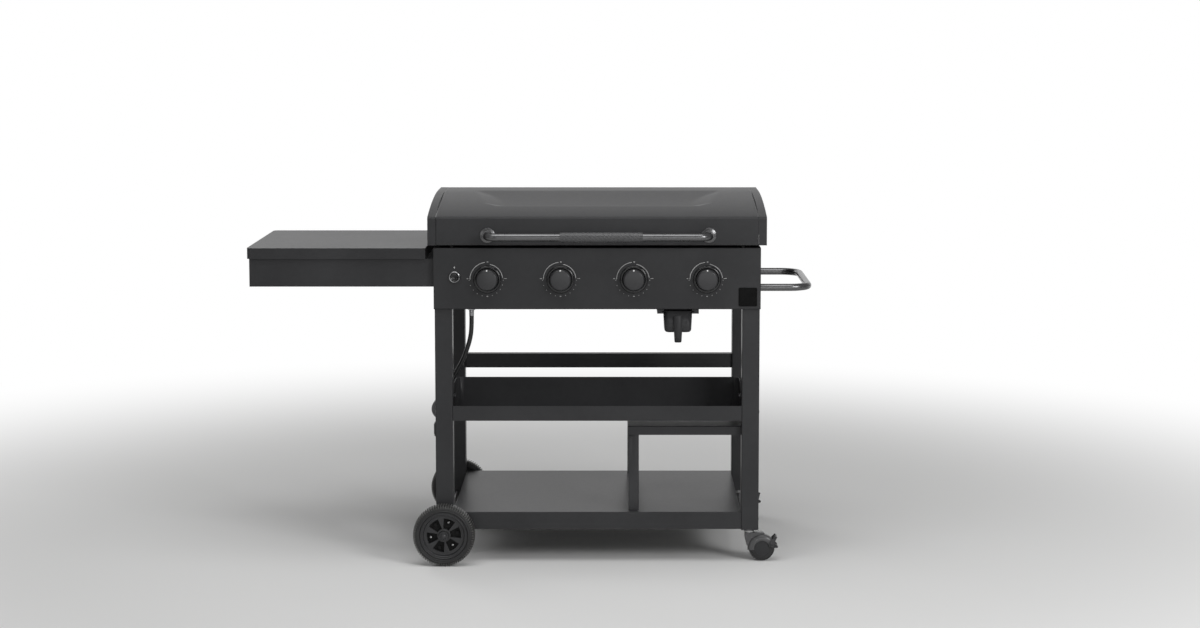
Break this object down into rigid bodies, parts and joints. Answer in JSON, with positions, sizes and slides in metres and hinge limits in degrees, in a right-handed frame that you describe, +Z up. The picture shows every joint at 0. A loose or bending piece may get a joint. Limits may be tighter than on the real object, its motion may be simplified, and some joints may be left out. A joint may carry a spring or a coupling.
{
  "type": "outdoor gas griddle station",
  "caption": "Gas griddle on a wheeled steel cart, with a hinged dished lid, a knobbed front panel, a side shelf, a push handle, a tray, a rack and a bottom shelf.",
  "frame": {"origin": "on the floor, under the middle of the whole object's box", "axes": "+X to the right of a person standing in front, +Y to the back, +Z up"},
  "size_m": [1.6254, 0.73, 1.0475],
  "materials": {
    "frame_steel": "satin powder coat",
    "body_steel": "satin powder coat",
    "handle_steel": "satin powder coat",
    "griddle_steel": "seasoned rolled steel",
    "burner_steel": "brushed",
    "bright_metal": "zinc plated",
    "brass": "machined",
    "black_plastic": "fine grain",
    "grip_plastic": "fine grain",
    "tyre_rubber": "matt",
    "hose_rubber": "satin",
    "regulator_metal": "satin enamel"
  },
  "bodies": {
    "cart": {"leg_front_left": "frame_steel", "leg_front_right": "frame_steel", "leg_rear_left": "frame_steel", "leg_rear_right": "frame_steel", "leg_plugs": "black_plastic", "rear_rail": "frame_steel", "bottom_shelf": "frame_steel", "condiment_tray": "frame_steel", "rack": "frame_steel", "control_panel": "body_steel", "side_panels": "body_steel", "rear_panel": "body_steel", "burner_box": "body_steel", "griddle_plate": "griddle_steel", "grease_chute": "body_steel", "burners": "burner_steel", "gas_manifold": "bright_metal", "valve_bodies": "brass", "knob_bezels": "black_plastic", "igniter": "black_plastic", "cup_rails": "body_steel", "hinge_bases": "bright_metal", "lid_buffers": "hose_rubber", "side_shelf_top": "body_steel", "side_shelf_apron": "body_steel", "push_handle": "handle_steel", "handle_flanges": "handle_steel", "axle_rod": "bright_metal", "axle_hardware": "bright_metal", "caster_plates": "bright_metal", "hose_ferrule": "bright_metal", "gas_hose": "hose_rubber", "regulator_body": "regulator_metal", "tank_nut": "black_plastic"},
    "lid": {"lid_shell": "body_steel", "lid_end_caps": "body_steel", "lid_handle_bar": "handle_steel", "lid_handle_grip": "grip_plastic", "lid_handle_roses": "handle_steel", "hinge_leaves": "body_steel"},
    "igniter_button": {"igniter_button": "black_plastic"},
    "grease_cup": {"grease_cup": "body_steel"},
    "valve_stem_1": {"valve_stem_1": "bright_metal"},
    "knob_1": {"knob_1": "black_plastic"},
    "valve_stem_2": {"valve_stem_2": "bright_metal"},
    "knob_2": {"knob_2": "black_plastic"},
    "valve_stem_3": {"valve_stem_3": "bright_metal"},
    "knob_3": {"knob_3": "black_plastic"},
    "valve_stem_4": {"valve_stem_4": "bright_metal"},
    "knob_4": {"knob_4": "black_plastic"},
    "wheel_front": {"wheel_hub_front": "black_plastic", "tyre_front": "tyre_rubber"},
    "caster_fork_front": {"caster_fork_front": "black_plastic"},
    "caster_wheel_front": {"caster_wheel_front": "tyre_rubber"},
    "caster_pedal_front": {"caster_pedal_front": "black_plastic"},
    "wheel_rear": {"wheel_hub_rear": "black_plastic", "tyre_rear": "tyre_rubber"},
    "caster_fork_rear": {"caster_fork_rear": "black_plastic"},
    "caster_wheel_rear": {"caster_wheel_rear": "tyre_rubber"},
    "caster_pedal_rear": {"caster_pedal_rear": "black_plastic"}
  },
  "joints": [
    {"name": "lid_hinge", "type": "hinge", "parent": "cart", "child": "lid", "pos_m": [0.188, 0.323, 0.924], "axis": [-1, 0, 0], "range_deg": [0, 95]},
    {"name": "igniter_push", "type": "slide", "parent": "cart", "child": "igniter_button", "axis": [0, 1, 0], "range_m": [0, 0.004], "stiffness_N_per_m": 600},
    {"name": "grease_cup_slide", "type": "slide", "parent": "cart", "child": "grease_cup", "axis": [0, -1, 0], "range_m": [0, 0.1]},
    {"name": "knob_1_push", "type": "slide", "parent": "cart", "child": "valve_stem_1", "axis": [0, 1, 0], "range_m": [0, 0.003], "stiffness_N_per_m": 1500},
    {"name": "knob_1_turn", "type": "hinge", "parent": "valve_stem_1", "child": "knob_1", "pos_m": [-0.1255, -0.287, 0.824], "axis": [0, -1, 0], "range_deg": [0, 270]},
    {"name": "knob_2_push", "type": "slide", "parent": "cart", "child": "valve_stem_2", "axis": [0, 1, 0], "range_m": [0, 0.003], "stiffness_N_per_m": 1500},
    {"name": "knob_2_turn", "type": "hinge", "parent": "valve_stem_2", "child": "knob_2", "pos_m": [0.0835, -0.287, 0.824], "axis": [0, -1, 0], "range_deg": [0, 270]},
    {"name": "knob_3_push", "type": "slide", "parent": "cart", "child": "valve_stem_3", "axis": [0, 1, 0], "range_m": [0, 0.003], "stiffness_N_per_m": 1500},
    {"name": "knob_3_turn", "type": "hinge", "parent": "valve_stem_3", "child": "knob_3", "pos_m": [0.2925, -0.287, 0.824], "axis": [0, -1, 0], "range_deg": [0, 270]},
    {"name": "knob_4_push", "type": "slide", "parent": "cart", "child": "valve_stem_4", "axis": [0, 1, 0], "range_m": [0, 0.003], "stiffness_N_per_m": 1500},
    {"name": "knob_4_turn", "type": "hinge", "parent": "valve_stem_4", "child": "knob_4", "pos_m": [0.5015, -0.287, 0.824], "axis": [0, -1, 0], "range_deg": [0, 270]},
    {"name": "wheel_front_spin", "type": "hinge", "parent": "cart", "child": "wheel_front", "pos_m": [-0.252, -0.313, 0.089], "axis": [0, 1, 0], "continuous": true},
    {"name": "caster_front_swivel", "type": "hinge", "parent": "cart", "child": "caster_fork_front", "pos_m": [0.628, -0.254, 0.082], "axis": [0, 0, 1], "continuous": true},
    {"name": "caster_front_roll", "type": "hinge", "parent": "caster_fork_front", "child": "caster_wheel_front", "pos_m": [0.664, -0.254, 0.0375], "axis": [0, 1, 0], "continuous": true},
    {"name": "caster_front_brake", "type": "hinge", "parent": "caster_fork_front", "child": "caster_pedal_front", "pos_m": [0.691, -0.254, 0.052], "axis": [0, 1, 0], "range_deg": [0, 10]},
    {"name": "wheel_rear_spin", "type": "hinge", "parent": "cart", "child": "wheel_rear", "pos_m": [-0.252, 0.335, 0.089], "axis": [0, 1, 0], "continuous": true},
    {"name": "caster_rear_swivel", "type": "hinge", "parent": "cart", "child": "caster_fork_rear", "pos_m": [0.628, 0.276, 0.082], "axis": [0, 0, 1], "continuous": true},
    {"name": "caster_rear_roll", "type": "hinge", "parent": "caster_fork_rear", "child": "caster_wheel_rear", "pos_m": [0.65346, 0.30146, 0.0375], "axis": [-0.7071, 0.7071, 0], "continuous": true},
    {"name": "caster_rear_brake", "type": "hinge", "parent": "caster_fork_rear", "child": "caster_pedal_rear", "pos_m": [0.67255, 0.32055, 0.052], "axis": [-0.7071, 0.7071, 0], "range_deg": [0, 10]}
  ]
}
